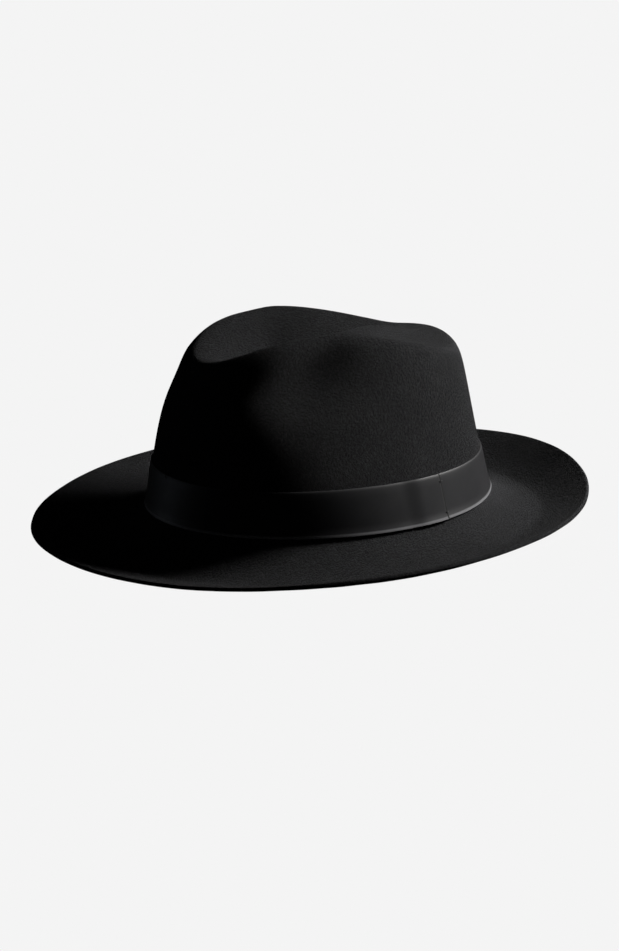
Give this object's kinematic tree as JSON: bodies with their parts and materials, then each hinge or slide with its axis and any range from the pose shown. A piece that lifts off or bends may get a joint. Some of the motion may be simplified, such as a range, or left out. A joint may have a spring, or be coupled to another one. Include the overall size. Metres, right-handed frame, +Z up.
{
  "type": "fedora hat",
  "caption": "Black felt fedora with a centre-dent pinched crown, an upturned raw-edge brim, a lapped ribbon hatband and a leather sweatband inside.",
  "frame": {"origin": "centre of the brim's outline on the surface that the hat stands on, which is the trough of the brim", "axes": "+Z up out of the crown, -Y the way the wearer faces, +X the wearer's left"},
  "size_m": [0.3012, 0.3263, 0.1193],
  "materials": {
    "black_felt": "matte napped wool felt",
    "hatband_ribbon": "smooth ribbon with a faint sheen",
    "black_thread": "thread",
    "sweatband_leather": "satin leather",
    "reed_plastic": "natural plastic",
    "reed_tape": "woven tape",
    "sweatband_thread": "thread",
    "patch_leather": "satin leather",
    "bow_ribbon": "narrow ribbon",
    "label_paper": "woven label",
    "lining_satin": "satin",
    "tip_satin": "satin",
    "piping_satin": "satin cord"
  },
  "bodies": {
    "root": {"felt_body": "black_felt", "hatband": "hatband_ribbon", "lap_tack_upper": "black_thread", "lap_tack_lower": "black_thread", "band_tack_front": "black_thread", "band_tack_right": "black_thread", "band_tack_back": "black_thread", "sweatband": "sweatband_leather", "sweatband_reed": "reed_plastic", "reed_tape": "reed_tape", "sweatband_stitching": "sweatband_thread", "sweatband_rear_patch": "patch_leather", "sweatband_bow": "bow_ribbon", "bow_knot": "bow_ribbon", "size_label": "label_paper", "lining_wall": "lining_satin", "lining_tip": "tip_satin", "lining_piping": "piping_satin"}
  },
  "joints": []
}
